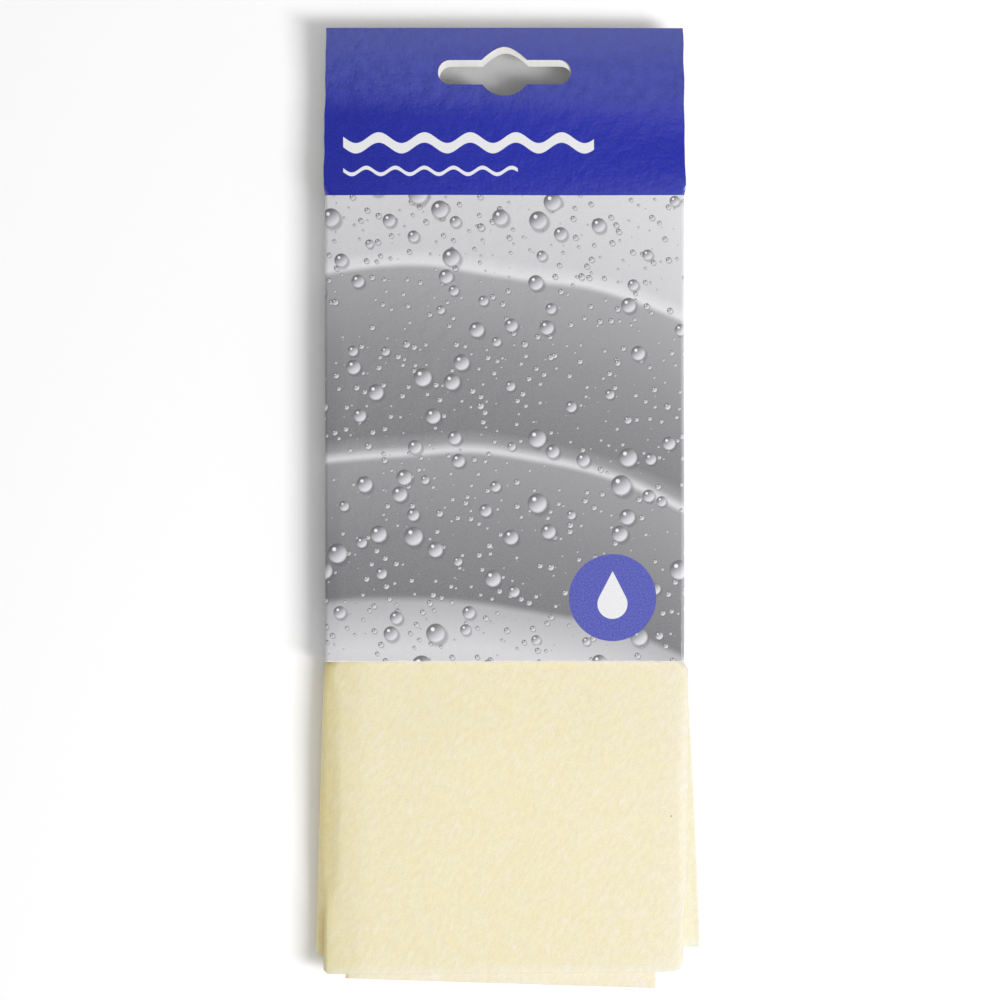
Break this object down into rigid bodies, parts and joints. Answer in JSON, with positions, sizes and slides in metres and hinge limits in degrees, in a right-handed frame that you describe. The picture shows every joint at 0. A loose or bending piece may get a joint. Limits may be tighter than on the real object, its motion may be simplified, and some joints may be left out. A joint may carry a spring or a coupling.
{
  "type": "synthetic chamois cloth",
  "caption": "Folded synthetic chamois cloth tucked into a card sleeve with a hang slot; the cloth slides out of the open end and its loose tail bends up.",
  "frame": {"origin": "on the table, under the middle of the card's width and of the pack's length", "axes": "+X across the card, to the right of its printed front; +Y along the pack towards the hang tab; +Z out of the printed front"},
  "size_m": [0.0919, 0.231, 0.0094],
  "materials": {
    "header_print": "satin",
    "picture_print": "satin",
    "bare_board": "matte",
    "glue_film": "satin",
    "chamois": "matte"
  },
  "bodies": {
    "sleeve": {"front_panel": "picture_print", "back_panel": "bare_board", "left_spine": "picture_print", "right_spine": "picture_print", "front_shoulder": "header_print", "back_shoulder": "header_print", "front_tab": "header_print", "back_tab": "header_print", "glue_flap": "bare_board", "flap_glue": "glue_film", "left_tab_glue": "glue_film", "right_tab_glue": "glue_film"},
    "cloth": {"tucked_cloth": "chamois"},
    "tail": {"outer_tail": "chamois", "inner_tail": "chamois"}
  },
  "joints": [
    {"name": "cloth_slide", "type": "slide", "parent": "sleeve", "child": "cloth", "axis": [0, -1, 0], "range_m": [0, 0.12]},
    {"name": "tail_bend", "type": "hinge", "parent": "cloth", "child": "tail", "pos_m": [0, -0.03695, 0.00945], "axis": [-1, 0, 0], "range_deg": [0, 90]}
  ]
}
